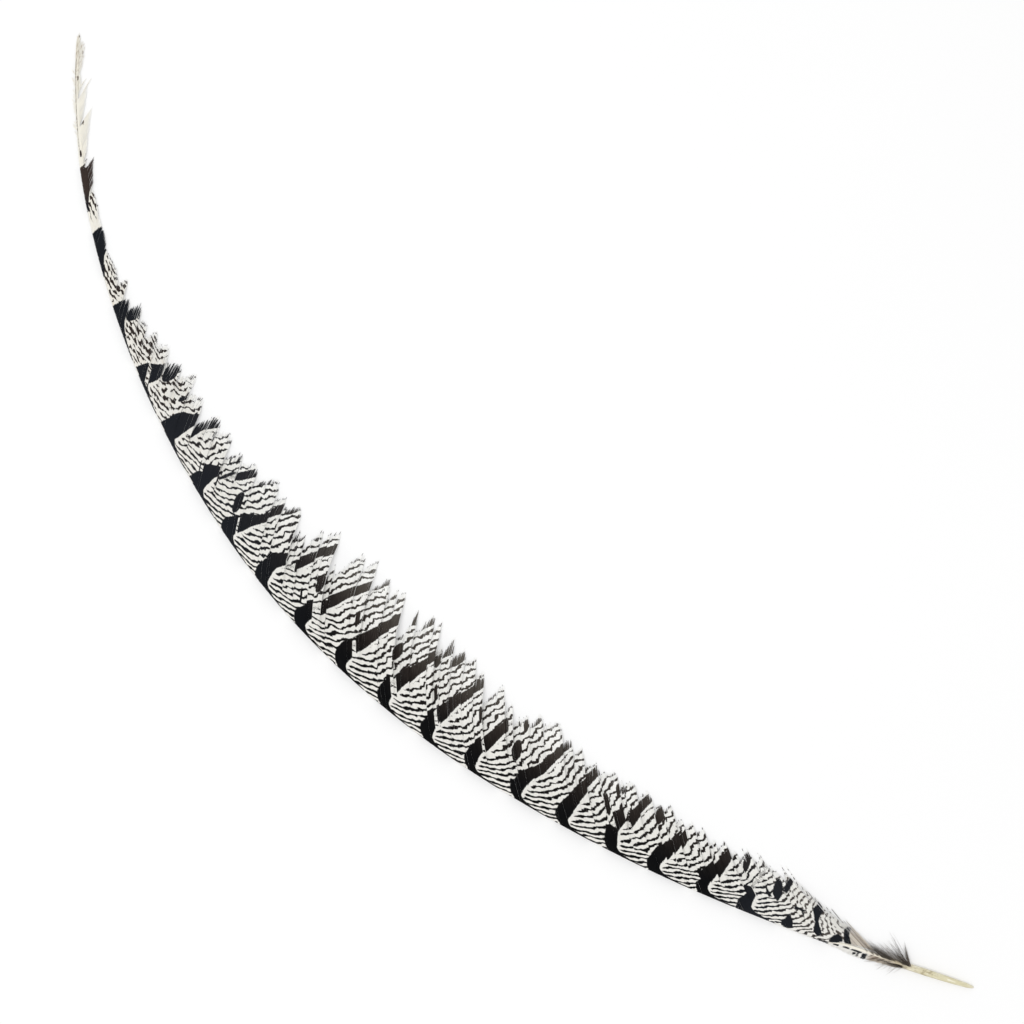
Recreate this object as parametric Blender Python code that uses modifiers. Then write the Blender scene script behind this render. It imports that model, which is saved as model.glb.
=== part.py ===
"""A barred pheasant tail feather that lies flat: a shaft, two vanes and a tuft of down.

The feather is laid out along its shaft. A place on it is given by the distance along the
shaft from the quill's end, the distance out from the shaft's line towards the wide vane,
and the height above the surface that it lies on. World +X runs from quill to tip, the wide
vane is on the -Y side, and +Z is up.
"""

import math

import bmesh
import bpy
import numpy as np

MM = 0.001

# The shaft's line: its length, and its heading from the X axis at equal steps to the tip.
SHAFT_LENGTH = 760 * MM
HEADINGS = (29, 27.5, 21, 14.5, 4, -9, -20, -31.5, -47.5)

# Distance along the shaft and radius there, in millimetres.
SHAFT_RADII = (
    (0, 0.7),
    (1.2, 1.25),
    (4, 1.55),
    (16, 1.8),
    (28, 2.0),
    (38, 1.9),
    (54, 1.5),
    (160, 1.1),
    (375, 0.85),
    (535, 0.6),
    (695, 0.35),
    (760, 0.15),
)
SHAFT_SIDES = 12
SHAFT_STEPS = 56

# The bare quill lies on its flat underside, and the shaft arches a little past it.
ARCH = ((0, 0), (46, 0), (110, 0.8), (220, 2.2), (420, 2.2), (600, 1.2), (760, 0.4))
# How far the shaft's centre lies towards the wide vane from the feather's line.
CENTRE_OFFSET = ((0, 0), (54, 0), (135, 0.5), (600, 0.5), (760, 0.2))

# Clear gap between pieces that grow from each other.
GAP = 0.3 * MM
VANE_THICKNESS = 0.5 * MM
NARROW_THICKNESS = 0.4 * MM
EDGE_HEIGHT = 0.45 * MM

# A barb leaves the shaft with this lean (run along the shaft for each step outwards) and
# bends away from it as it goes out.
BARB_LEAN = ((43, 1.9), (70, 1.85), (102, 1.4), (134, 1.1), (535, 1.1), (615, 1.8), (760, 1.9))
BARB_BEND = 0.0063 / MM

# The wide vane's locks, in millimetres: where each one's quillward edge is rooted, how far
# out its point reaches, and how far out it still reaches at its tipward edge.
LOCKS = (
    (52.5, 13, 12),
    (62.5, 20, 18),
    (70, 26, 22.5),
    (81.5, 24.5, 23.5),
    (90, 27.5, 24.5),
    (103, 29, 23.5),
    (115.5, 27, 23.5),
    (122, 29.5, 24.5),
    (132, 28, 25.5),
    (138, 31.5, 27),
    (144.5, 31.5, 28),
    (151.5, 30.5, 27),
    (157, 35.5, 30),
    (167.5, 36.5, 31),
    (179.5, 37.5, 33),
    (191, 37.5, 32),
    (202.5, 37, 32),
    (213, 40.5, 34.5),
    (220, 41.5, 35.5),
    (226.5, 45.5, 40.5),
    (239, 45, 36.5),
    (248, 40, 32),
    (259, 41.5, 35.5),
    (264.5, 46.5, 33),
    (280, 46.5, 43),
    (286.5, 50, 45),
    (294.5, 50, 43),
    (303.5, 52.5, 39.5),
    (310.5, 54.5, 48),
    (319, 53.5, 40.5),
    (331, 50, 33),
    (337.5, 35.5, 32),
    (342.5, 52.5, 43),
    (354, 52.5, 40.5),
    (367.5, 55, 45),
    (376.5, 52, 32),
    (393.5, 35.5, 28),
    (398, 50, 37.5),
    (408.5, 43, 28),
    (419.5, 33.5, 28),
    (428, 40.5, 33),
    (441.5, 37.5, 32),
    (448.5, 39, 29),
    (467, 33.5, 27),
    (480, 30, 21.5),
    (492, 30, 24.5),
    (504.5, 29, 17),
    (520.5, 25.5, 20.5),
    (533.5, 27.5, 19.5),
    (543.5, 23, 16),
    (555.5, 20.5, 14.5),
    (567.5, 17, 10.5),
    (578, 13.5, 10.5),
    (586.5, 14, 7.5),
    (598, 9, 6.5),
    (605, 11, 6),
    (614.5, 7, 4.5),
    (637, 5.5, 3),
    (654, 7, 4.5),
    (669, 7, 1.8),
    (689, 6.5, 1.8),
    (713, 8, 1.8),
    (732, 4.5, 1),
)
WIDE_VANE_END = 752.0
# Where along a lock's width, and how near its full reach, its outline has points.
LOCK_OUTLINE = ((0.0, 0.93), (0.22, 1.0), (0.97, None))
LOWEST_NOTCH = 0.9
WIDE_VANE_ROWS = 6
VANE_CROWN = 0.075

# The down's tufts in the same form.
DOWN_TUFTS = (
    (37, 8, 4.5),
    (40, 10.5, 5),
    (43, 9, 5),
    (46, 12, 6),
    (49, 13, 9),
)
DOWN_END = 51.5
DOWN_ROWS = 5

# The narrow vane: its span along the shaft, and how far out its edge is from the line.
NARROW_SPAN = (41, 742)
NARROW_EDGE = ((41, 2.6), (54, 3.5), (63, 3.6), (75, 2.6), (91, 2.0), (107, 1.5), (125, 1.0), (760, 0.8))
NARROW_STEPS = 64
NARROW_ROWS = 4
NARROW_START_ANGLE = 170

LINE_STEPS = 1520


def table(rows, distance):
    """The value at a distance along the shaft, read from rows of (distance, value) in millimetres."""
    places, values = zip(*rows)
    return float(np.interp(distance / MM, places, values)) * MM


def lean_at(distance):
    places, values = zip(*BARB_LEAN)
    return float(np.interp(distance / MM, places, values))


def shaft_line():
    """The shaft's line: distances along it, its points and its headings."""
    distances = np.linspace(0, SHAFT_LENGTH, LINE_STEPS + 1)
    stations = np.linspace(0, SHAFT_LENGTH, len(HEADINGS))
    headings = np.radians(np.interp(distances, stations, HEADINGS))
    middles = (headings[1:] + headings[:-1]) / 2
    step = SHAFT_LENGTH / LINE_STEPS
    x = np.concatenate([[0], np.cumsum(np.cos(middles)) * step])
    y = np.concatenate([[0], np.cumsum(np.sin(middles)) * step])
    return distances, x, y, headings


LINE = shaft_line()


def on_feather(along, out, height):
    """The point at a distance along the shaft, out towards the wide vane and up."""
    distances, xs, ys, headings = LINE
    heading = np.interp(along, distances, headings)
    past_tip = max(along - SHAFT_LENGTH, 0)
    x = np.interp(along, distances, xs) + past_tip * math.cos(heading)
    y = np.interp(along, distances, ys) + past_tip * math.sin(heading)
    return (x + out * math.sin(heading), y - out * math.cos(heading), height)


def along_barb(root, out):
    """How far along the shaft a barb rooted there has come when it is this far out."""
    out = max(out, 0)
    return root + lean_at(root) * out - BARB_BEND * out * out


def principled(name, colour, roughness):
    material = bpy.data.materials.new(name)
    material.use_nodes = True
    shader = material.node_tree.nodes["Principled BSDF"]
    shader.inputs["Base Color"].default_value = (*colour, 1)
    shader.inputs["Roughness"].default_value = roughness
    shader.inputs["Metallic"].default_value = 0
    return material


def sheet(name, collection, columns, rows, thickness, surface, material):
    """A closed thin sheet: a grid whose points are placed by surface(column, row)."""
    mesh = bpy.data.meshes.new(name)
    grid = bmesh.new()
    bmesh.ops.create_grid(grid, x_segments=columns, y_segments=rows, size=0.5)
    for corner in grid.verts:
        column = round((corner.co.x + 0.5) * columns)
        row = round((corner.co.y + 0.5) * rows)
        corner.co = surface(column, row)
    grid.to_mesh(mesh)
    grid.free()
    mesh.shade_smooth()
    mesh.materials.append(material)
    obj = bpy.data.objects.new(name, mesh)
    collection.objects.link(obj)
    solidify = obj.modifiers.new("thickness", "SOLIDIFY")
    solidify.thickness = thickness
    solidify.offset = 0
    return obj


def lock_outline(locks, end):
    """The outline of a row of locks: (root, reach) points from quill to tip, in metres."""
    ends = [lock[0] for lock in locks[1:]] + [end]
    outline = []
    for (start, reach, notch), stop in zip(locks, ends):
        for share, height in LOCK_OUTLINE:
            root = start + (stop - start) * share
            out = notch if height is None else reach * height
            outline.append((root * MM, out * MM))
    return outline


def build_shaft(collection, helpers):
    """The quill and rachis: a round section with a flat underside, tapered along the line."""
    section = bpy.data.curves.new("shaft_section", "CURVE")
    section.dimensions = "2D"
    outline = section.splines.new("POLY")
    outline.points.add(SHAFT_SIDES - 1)
    outline.use_cyclic_u = True
    half_side = math.pi / SHAFT_SIDES
    for index, point in enumerate(outline.points):
        angle = half_side - math.pi / 2 - 2 * math.pi * index / SHAFT_SIDES
        point.co = (math.cos(angle), math.sin(angle) + math.cos(half_side), 0, 1)
    section_object = bpy.data.objects.new("shaft_section", section)
    section_object.hide_render = True
    section_object.display_type = "WIRE"
    helpers.objects.link(section_object)

    curve = bpy.data.curves.new("shaft", "CURVE")
    curve.dimensions = "3D"
    curve.twist_mode = "Z_UP"
    curve.bevel_mode = "OBJECT"
    curve.bevel_object = section_object
    curve.use_fill_caps = True
    bare = [row[0] * MM for row in SHAFT_RADII[:5]]
    rest = np.linspace(bare[-1], SHAFT_LENGTH, SHAFT_STEPS + 1)[1:]
    stations = bare + list(rest)
    spline = curve.splines.new("POLY")
    spline.points.add(len(stations) - 1)
    for point, along in zip(spline.points, stations):
        place = on_feather(along, table(CENTRE_OFFSET, along), table(ARCH, along))
        point.co = (*place, 1)
        point.radius = table(SHAFT_RADII, along)
    obj = bpy.data.objects.new("shaft", curve)
    obj.data.materials.append(principled("quill", (0.72, 0.64, 0.48), 0.35))
    collection.objects.link(obj)
    return obj


def wide_vane_root(along):
    """Where a barb of the wide vane leaves the shaft: out from the line, and height.

    Near the quill the barbs leave the shaft's side. Further on they start at its far side
    and pass over its top.
    """
    radius = table(SHAFT_RADII, along)
    centre = table(CENTRE_OFFSET, along)
    reach = radius + GAP + VANE_THICKNESS / 2
    angle = math.radians(float(np.interp(along / MM, (82, 104), (0, 90))))
    over = float(np.interp(along / MM, (104, 118), (0, 0.9)))
    out = centre + (reach + GAP / 2) * math.cos(angle) - over * radius
    height = table(ARCH, along) + radius + reach * math.sin(angle)
    return out, height


def vane_sheet_surface(outline, rows):
    """surface(column, row) of a vane whose tips follow the outline."""

    def surface(column, row):
        root, reach = outline[column]
        start, root_height = wide_vane_root(root)
        share = row / rows
        width = max(reach, start + LOWEST_NOTCH * MM) - start
        out = start + width * share
        crown = VANE_CROWN * width * 4 * share * (1 - share)
        height = EDGE_HEIGHT + (root_height - EDGE_HEIGHT) * (1 - share * share) + crown
        return on_feather(along_barb(root, out), out, height)

    return surface


def build_wide_vane(collection):
    outline = lock_outline(LOCKS, WIDE_VANE_END)
    return sheet(
        "wide_vane",
        collection,
        len(outline) - 1,
        WIDE_VANE_ROWS,
        VANE_THICKNESS,
        vane_sheet_surface(outline, WIDE_VANE_ROWS),
        principled("barred_vane", (0.45, 0.44, 0.41), 0.6),
    )


def build_down_tuft(collection):
    outline = lock_outline(DOWN_TUFTS, DOWN_END)
    return sheet(
        "down_tuft",
        collection,
        len(outline) - 1,
        DOWN_ROWS,
        VANE_THICKNESS,
        vane_sheet_surface(outline, DOWN_ROWS),
        principled("grey_down", (0.30, 0.25, 0.20), 0.9),
    )


def build_narrow_vane(collection):
    """The vane on the convex side, which hangs down close to the shaft."""
    start, stop = (end * MM for end in NARROW_SPAN)
    first_angle = math.radians(NARROW_START_ANGLE)

    def surface(column, row):
        along = start + (stop - start) * column / NARROW_STEPS
        radius = table(SHAFT_RADII, along)
        centre = table(CENTRE_OFFSET, along)
        reach = radius + GAP + NARROW_THICKNESS / 2
        middle = table(ARCH, along) + radius
        top_out = centre + reach * math.cos(first_angle)
        top_height = middle + reach * math.sin(first_angle)
        side_out = centre - reach
        edge_out = min(-table(NARROW_EDGE, along), side_out)
        share = row / NARROW_ROWS
        if row == 0:
            return on_feather(along, top_out, top_height)
        bulge = math.sin(share * math.pi / 2)
        out = side_out + (edge_out - side_out) * bulge
        drop = (1 - math.cos(share * math.pi / 2)) if edge_out < side_out - MM else share
        height = middle + (EDGE_HEIGHT - middle) * drop
        return on_feather(along, out, height)

    return sheet(
        "narrow_vane",
        collection,
        NARROW_STEPS,
        NARROW_ROWS,
        NARROW_THICKNESS,
        surface,
        principled("dark_narrow_vane", (0.16, 0.15, 0.15), 0.6),
    )


def centre_over_origin(objects):
    """Moves the objects together so that their box stands centred on the world origin."""
    bpy.context.view_layer.update()
    graph = bpy.context.evaluated_depsgraph_get()
    corners = []
    for obj in objects:
        evaluated = obj.evaluated_get(graph)
        mesh = evaluated.to_mesh()
        corners += [evaluated.matrix_world @ vertex.co for vertex in mesh.vertices]
        evaluated.to_mesh_clear()
    corners = np.array(corners)
    low, high = corners.min(axis=0), corners.max(axis=0)
    for obj in objects:
        obj.location.x -= (low[0] + high[0]) / 2
        obj.location.y -= (low[1] + high[1]) / 2
        obj.location.z -= low[2]


def main():
    for obj in list(bpy.data.objects):
        bpy.data.objects.remove(obj, do_unlink=True)
    feather = bpy.data.collections.new("pheasant_tail_feather")
    helpers = bpy.data.collections.new("helpers")
    bpy.context.scene.collection.children.link(feather)
    bpy.context.scene.collection.children.link(helpers)
    pieces = [
        build_shaft(feather, helpers),
        build_wide_vane(feather),
        build_narrow_vane(feather),
        build_down_tuft(feather),
    ]
    centre_over_origin(pieces)


main()
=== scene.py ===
"""The looks of a barred white-and-black pheasant tail feather lying on a pale surface.

The feather is laid out along its shaft, in millimetres: `along` is the distance from the
quill's end, `out` the distance from the shaft's line towards the wide vane, and `height`
the height above the surface. A barb's `root` is where it leaves the shaft, and markings
are worked out from root and out, so that they follow the barbs.
"""

import math

import bpy
import numpy as np
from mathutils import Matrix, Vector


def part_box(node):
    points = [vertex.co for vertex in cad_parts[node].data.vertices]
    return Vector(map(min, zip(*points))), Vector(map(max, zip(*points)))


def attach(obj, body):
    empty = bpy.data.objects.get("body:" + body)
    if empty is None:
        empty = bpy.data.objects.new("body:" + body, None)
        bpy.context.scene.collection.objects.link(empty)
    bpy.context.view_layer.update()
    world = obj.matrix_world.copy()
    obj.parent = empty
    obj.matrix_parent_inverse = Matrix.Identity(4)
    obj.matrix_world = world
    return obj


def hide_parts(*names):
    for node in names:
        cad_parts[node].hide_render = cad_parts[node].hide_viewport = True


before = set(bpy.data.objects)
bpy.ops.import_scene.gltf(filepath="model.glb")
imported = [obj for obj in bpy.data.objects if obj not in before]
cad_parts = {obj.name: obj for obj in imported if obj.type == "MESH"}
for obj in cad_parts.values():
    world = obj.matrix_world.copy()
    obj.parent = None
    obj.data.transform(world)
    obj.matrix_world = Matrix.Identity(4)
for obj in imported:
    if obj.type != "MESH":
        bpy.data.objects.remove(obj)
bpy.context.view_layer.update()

MM = 0.001

# ---------------------------------------------------------------- the feather's layout

SHAFT_LENGTH = 760.0
# The shaft's heading at equal steps to the tip: a fit to the photo, to half a degree.
HEADINGS = (29, 27.5, 21, 14.5, 4, -9, -20, -31.5, -47.5)
LINE_STEPS = 1520
SHAFT_SIDES = 20
# Tables along the shaft: rows of a place and the value there.
SHAFT_RADII = (
    (0, 0.7), (1.2, 1.25), (4, 1.55), (16, 1.8), (28, 2.0), (38, 1.9),
    (54, 1.5), (160, 1.1), (375, 0.85), (535, 0.6), (695, 0.35), (760, 0.15),
)
# How much of that radius the horn has, which is more pointed at the quill's end.
HORN_SHARE = ((0, 0.6), (1.2, 0.66), (4, 0.78), (10, 0.88), (20, 0.93), (60, 0.95), (100, 1))
ARCH = ((0, 0), (46, 0), (110, 0.8), (220, 2.2), (420, 2.2), (600, 1.2), (760, 0.4))
CENTRE_OFFSET = ((0, 0), (54, 0), (135, 0.5), (600, 0.5), (760, 0.2))
BARB_LEAN = (
    (43, 1.9), (70, 1.85), (102, 1.4), (134, 1.1), (535, 1.1), (615, 1.8),
    (738, 1.9), (744, 2.5), (750, 4.0), (757, 4.8),
)
BARB_BEND = 0.0063
GAP = 0.3
VANE_THICKNESS = 0.5
EDGE_HEIGHT = 0.45
VANE_CROWN = 0.075

# The wide vane's locks: quillward edge's root, the point's reach, the reach at the tipward
# edge, and how far the lock's markings have slipped along the shaft.
LOCKS = (
    (52.5, 13, 12, 1.5), (62.5, 20, 18, 6), (70, 25.5, 22.5, 6), (81.5, 24.5, 23.5, 1),
    (90, 27.5, 24.5, 0), (103, 29, 23.5, 0), (115.5, 27, 23.5, 0), (122, 29.5, 24.5, -3.5),
    (132, 28, 25.5, -3.5), (138, 31.5, 27, -1), (144.5, 31.5, 28, 0), (151.5, 30.5, 27.5, -6),
    (157, 35.5, 31, -4), (163, 33, 30, -3), (170, 36.5, 31, -1), (179.5, 37.5, 34.5, -1.5),
    (187.5, 35.5, 32, -2.5), (191, 37.5, 34.5, 3.5), (198.5, 35.5, 32, 3), (203, 37, 32, 1.7),
    (213, 40.5, 34.5, 0.5), (220, 41.5, 36.5, 0), (226.5, 45.5, 40.5, -0.5), (239, 45, 36.5, -1),
    (248, 40, 36.5, -0.5), (254, 36.5, 32, 0), (259, 41.5, 35.5, -1), (264.5, 46.5, 33, -0.5),
    (280, 46.5, 43, 1), (286.5, 50, 45, 0), (294.5, 50, 43, 1), (303.5, 52.5, 39.5, 0.5),
    (310.5, 45, 40.5, 1.5), (314.5, 54.5, 48, 1.5), (319, 53.5, 40.5, -0.5), (331, 50, 37.5, 0.5),
    (337, 35.5, 32, 0), (342.5, 52.5, 49, 1.5), (348, 50.5, 44, 0.5), (354, 52.5, 40.5, 0),
    (367.5, 55, 45, 0.5), (376, 52, 32, 1), (393.5, 35.5, 28, -1.5), (398, 50, 45, -1),
    (404, 46, 37.5, 0), (408.5, 43, 28, -1.5), (419.5, 33.5, 31, -3), (423.5, 33, 28, -3),
    (428, 40.5, 33, 2.5), (441.5, 37.5, 32, 0.5), (448.5, 39, 29, -1.5), (467, 33.5, 27, -2),
    (480, 30, 21.5, -2.5), (492, 30, 24.5, 1.5), (504.5, 29, 17, -3), (520.5, 25.5, 20.5, 1.5),
    (533.5, 27.5, 19.5, 1), (544, 23, 16, 0.5), (555.5, 20.5, 14.5, -0.5), (567.5, 17, 10.5, 0),
    (578, 13.5, 10.5, 0), (586.5, 14, 7.5, 0), (598, 9, 6.5, 0), (605, 11, 6, 0),
    (614.5, 7, 4.5, 0), (637, 5.5, 5, 0), (654, 5.5, 4.5, 0), (669, 7, 3, 0),
    (687.5, 8, 2, 0), (708.5, 9, 2, 0), (723.5, 4.8, 1.6, 0),
)
WIDE_VANE_END = 757.0
LOCK_POINT = 0.22
LOCK_SHOULDER = 0.93

# The outline by the quill, where the barbs grow longer, and at the tip, whose locks rise to
# points at their tipward ends: root, reach.
QUILL_EDGE = ((49, 7), (52.5, 10), (58, 14), (63, 18), (66, 21), (69.5, 25.5), (76, 26))
TIP_EDGE = (
    (669, 5), (676.5, 6.1), (680.5, 7.4), (682.5, 4), (685.7, 1.8), (687.5, 4), (696, 6),
    (706.5, 8.8), (708.5, 3.4), (711.5, 4.6), (714.5, 5.4), (718, 6.1), (721.5, 6.4), (722.5, 9.4),
    (724.5, 3.4), (734, 2.6), (736, 3.7), (738, 4.4), (741.6, 4.7), (745, 3.9), (748.6, 2.4),
    (757, 1.1),
)
TIP_POINT = 0.8

# The dark bars across the wide vane: middle at the shaft, width by the shaft, width at the
# edge, and how far the outer part is swept towards the quill. The last three lie along
# their barbs at the quillward side, and their last value is how far the tipward side leans
# along the shaft for each millimetre outwards.
BARS = (
    (131, 8, 4, 0), (156, 7.5, 4.5, 0), (184.5, 8, 4.5, 0), (210, 8.5, 5, 0), (240, 9, 5.5, 0),
    (268.5, 8.5, 5, 3), (297.5, 8.5, 5.5, 0), (326, 9.5, 5.5, 0), (355.5, 9.5, 6, 0),
    (386, 9.5, 6.5, 0), (417, 10, 5.5, 3), (448, 10, 5.5, 3), (479, 10.5, 5, 2.5),
    (508.5, 10, 5, 4), (540.4, 11.6, 5, 1.5), (573, 11, 6, 2),
    (606, 15, 15, 0.2), (644.5, 18.5, 18.5, 0.55), (680.3, 18.5, 18.5, 0.65),
)
SLANTED_BARS_FROM = 600
BAR_BACK = 0.0065
TOE_LENGTH = 16.0
BAR_FEET_FROM = 92.0

# Bars by the quill, drawn along their own paths: (root, out, thickness) on the way.
QUILL_BARS = (
    ((55, 10, 1), (61.5, 7, 2), (66, 3.5, 3), (70.5, 1, 2)),
    ((69, 4.3, 1), (71, 3.3, 2.6), (75.4, 1.9, 2.4), (80, 0.4, 1.6), (82, -0.4, 0.8)),
    (
        (61.5, 17.8, 1), (65.5, 14.8, 2.6), (73, 11.7, 3), (77, 9, 2), (80.5, 6, 2.4),
        (83.5, 3.5, 3.6), (88.5, 1, 2),
    ),
    ((68, 25.2, 1), (72.5, 23.4, 1.7), (80, 20.4, 2.1), (86, 17.6, 1.8), (90, 15.4, 0.6)),
    ((84, 21.6, 1.2), (87, 20.2, 3.2), (91, 18, 4.2), (96, 15.2, 4.4), (101, 12, 3)),
    ((97, 6.2, 0.8), (99.5, 4.2, 3), (102.5, 2, 4), (106, 0.7, 3.2), (109, 0, 1)),
    ((80.5, 10.8, 0.8), (84, 10.9, 1.3), (87.5, 11, 1.5), (90.5, 9.6, 0.8)),
    ((82, 11.5, 0.6), (85, 9.5, 1.4), (88, 7, 0.6)),
    ((103, 14.5, 4.75), (106, 12, 1.5)),
)

# Dark pieces of a bar on a lock that has slipped: from root, to root, middle, thickness.
SLIPPED_PIECES = (
    (104, 115.5, 24, 4.2), (163, 170, 28, 6.5), (199, 202.5, 21, 9.5), (190.5, 193.5, 30, 6),
    (185.5, 190, 31.5, 2.5), (254, 261.5, 22, 8), (240.5, 247.5, 39.5, 3), (248.5, 252, 35.5, 6),
    (280, 282.5, 27.5, 7.5), (269, 273.5, 43.5, 2.5), (311, 313.5, 23, 7.5), (294.5, 304, 44, 6),
    (306.5, 310.5, 42.5, 5), (310.5, 314.5, 36.5, 6), (336.5, 344, 27, 7),
    (319.5, 327.5, 49, 4.5), (331, 334.5, 45.5, 5.5), (369, 372, 25.5, 7.5),
    (357.5, 365.5, 46.5, 5), (398, 403.5, 24, 8), (396.5, 398, 28, 6), (412.5, 414, 12, 7),
    (424.5, 427, 29, 4.5), (428, 430, 27, 5), (262, 265.5, 30, 7), (430.5, 439.5, 37, 6),
    (480, 491.5, 17.7, 2), (469.5, 475.5, 15, 9), (454.5, 463.5, 33, 2.5),
    (481.5, 483.5, 27, 4.5), (487, 488.5, 24, 5), (546, 555, 15.5, 7.5),
    (506.5, 507.5, 8, 4.5), (511, 512.5, 26, 2.5), (504.5, 506, 22.5, 3),
    (522, 524, 17.5, 4.5), (533.5, 538.5, 16, 2.5), (587, 598.5, 9.2, 6.5),
    (582, 587, 12.5, 2.5),
)

# Pale splits between locks, which interrupt the bars: from root, to root, from out, to out.
SPLITS = (
    (187.5, 191, 9.5, 18), (280, 282, 10.5, 20.5), (312, 314.5, 4.5, 17.5),
    (310.5, 314.5, 32.5, 45), (340.5, 345, 6.5, 17.5), (198.5, 202.5, 12, 19),
    (254, 264.5, 27, 42), (480, 491.5, 8, 27), (370, 373, 5.5, 17.5), (397.5, 404, 2.5, 20),
    (421, 428, 6.5, 24.5), (468, 469.5, 4.5, 13), (553.5, 556, 4.5, 21.5),
    (564.5, 567.5, 1, 7.5),
)

# Thin dark lines between the bars: distance from one to the next, and how strong they
# are, along the shaft. Near the shaft they run at the gentle slope, far out at the steep one, and
# right by the shaft they lie closer together.
LINE_PERIOD = ((70, 1.95), (150, 2.55), (420, 2.6), (540, 2.5), (585, 3.0), (760, 2.9))
LINE_SLOPE = 0.28
LINE_STRENGTH = (
    (60, 0.9), (78, 0.82), (92, 0.88), (130, 1.0), (440, 1), (520, 0.85), (760, 0.85),
)
# The web without lines past a bar: the bars' middles, and how wide it is there.
CLEAR_WEB = ((560, 573, 606, 645, 682), (0, 3, 4, 13, 1))
STEEP_SLOPE = 0.62
STEEP_LEVEL = 14.5
LINE_BLEND = 10.7
CROWDING = 2.2
CROWDED_WIDTH = 4.0

# Small brown specks on the pale tip: along, out, length, thickness.
TIP_SPECKS = (
    (696.8, 0.9, 3.4, 1.1), (713.4, 3.3, 2.4, 1.7), (733.7, 4.3, 1.0, 0.7), (737.5, 1.5, 2.4, 0.7),
    (751.4, 3.9, 2.0, 0.7), (760, 1.5, 1.4, 0.6), (723, 0.4, 50, 0.34),
)

# The narrow vane: its span along the shaft, and how far out its edge is on the other side.
NARROW_SPAN = (41, 742)
NARROW_EDGE = (
    (41, 2.8), (52, 3.7), (60, 4.4), (65, 4), (72, 3.1), (83, 2.3), (99, 1.9), (107, 1.6),
    (125, 1.05), (695, 0.8), (705, 0.4), (735, 0.35), (750, 0.3),
)

# Where on the shaft's round the narrow vane starts: degrees from its widest place, at a root.
NARROW_START = ((41, 125), (46, 95), (74, 95), (80, 140), (760, 140))

# Black marks on the narrow vane by the quill: from along, to along, from out, to out.
NARROW_MARKS = (
    (46, 61, -0.55, -0.2),
    (60, 62.5, -4, -0.6), (63, 69, -1.2, -0.2), (64.2, 65.2, -4, -1), (66, 67.5, -3.4, -1.6),
    (70, 73.5, -1.2, -0.2), (76, 79, -1.6, -0.4), (81.5, 90, -2.4, -0.4),
)

# Groups of hairs: how many clumps, hairs in a clump, side, root from, usual, to, length along
# the shaft from, to, outward slope from, usual, to, half width, how dark, how pale.
DOWN_GROUPS = (
    (9, 7, 1, 36, 37.5, 42, 3, 7, 0.15, 0.3, 0.6, 0.2, 0.8, 0),
    (7, 4, 1, 36, 37.5, 41, 12, 17, 0.26, 0.38, 0.52, 0.12, 0.9, 0),
    (13, 2, 1, 36, 37.2, 42, 9, 15, 0.5, 0.74, 1.05, 0.14, 0.95, 0),
    (8, 2, 1, 35.6, 36.6, 38, 4.5, 7.5, 1.1, 1.4, 1.9, 0.13, 0.9, 0),
    (6, 7, 1, 42, 46, 50, 11, 16, 0.14, 0.2, 0.26, 0.14, 0.6, 0.1),
    (11, 3, 1, 40, 46, 54, 8, 12, 0.34, 0.5, 0.72, 0.12, 0.95, 0),
    (12, 3, 1, 37, 45, 52, 8, 14, 0.22, 0.38, 0.55, 0.11, 0.1, 0.55),
    (14, 3, 1, 47, 53, 62, 6, 12, 0.4, 0.52, 0.68, 0.13, 0.95, 0),
    (11, 4, 1, 41, 47, 53, 10, 16, 0.28, 0.36, 0.46, 0.1, 1.0, 0),
    (14, 9, -1, 36.5, 41, 47, 5, 10, 0.04, 0.14, 0.26, 0.17, 0.75, 0),
    (16, 5, -1, 42, 48, 56, 5, 10, 0.16, 0.3, 0.5, 0.12, 0.5, 0.25),
    (8, 2, -1, 37, 41, 52, 2.5, 5, 0.7, 1.2, 2.2, 0.07, 0.3, 0.4),
)

# Barbs: the distance between roots, a barb's half width as a share of that, the outward
# step between its rings, and how much closer they stand by the shaft.
BARB_SPACING = 0.5
BARB_OVERLAP = 0.64
RING_STEP = 1.25
RING_CROWDING = 1.3
BARB_RIDGE = 0.13
LOCK_TILT = 0.22
NARROW_SPACING = 0.55
NARROW_RINGS = 9
DOWN_RINGS = 11


def read_table(rows, value):
    places, values = zip(*rows)
    return np.interp(value, places, values)


def smooth_step(start, stop, value):
    share = np.clip((value - start) / (stop - start), 0, 1)
    return share * share * (3 - 2 * share)


def within(value, low, high):
    """How far inside a span a value lies: negative where it is outside."""
    return np.minimum(value - low, high - value)


def shaft_line():
    """Distances along the shaft's line, its points and its headings."""
    distances = np.linspace(0, SHAFT_LENGTH, LINE_STEPS + 1)
    stations = np.linspace(0, SHAFT_LENGTH, len(HEADINGS))
    headings = np.radians(np.interp(distances, stations, HEADINGS))
    middles = (headings[1:] + headings[:-1]) / 2
    step = SHAFT_LENGTH / LINE_STEPS
    x = np.concatenate([[0], np.cumsum(np.cos(middles)) * step])
    y = np.concatenate([[0], np.cumsum(np.sin(middles)) * step])
    return distances, x, y, headings


LINE = shaft_line()


def flat_place(along, out):
    """x and y, in millimetres from the quill's end, of a place on the feather."""
    distances, xs, ys, headings = LINE
    heading = np.interp(along, distances, headings)
    past_tip = np.maximum(along - SHAFT_LENGTH, 0)
    x = np.interp(along, distances, xs) + past_tip * np.cos(heading) + out * np.sin(heading)
    y = np.interp(along, distances, ys) + past_tip * np.sin(heading) - out * np.cos(heading)
    return x, y


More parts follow.
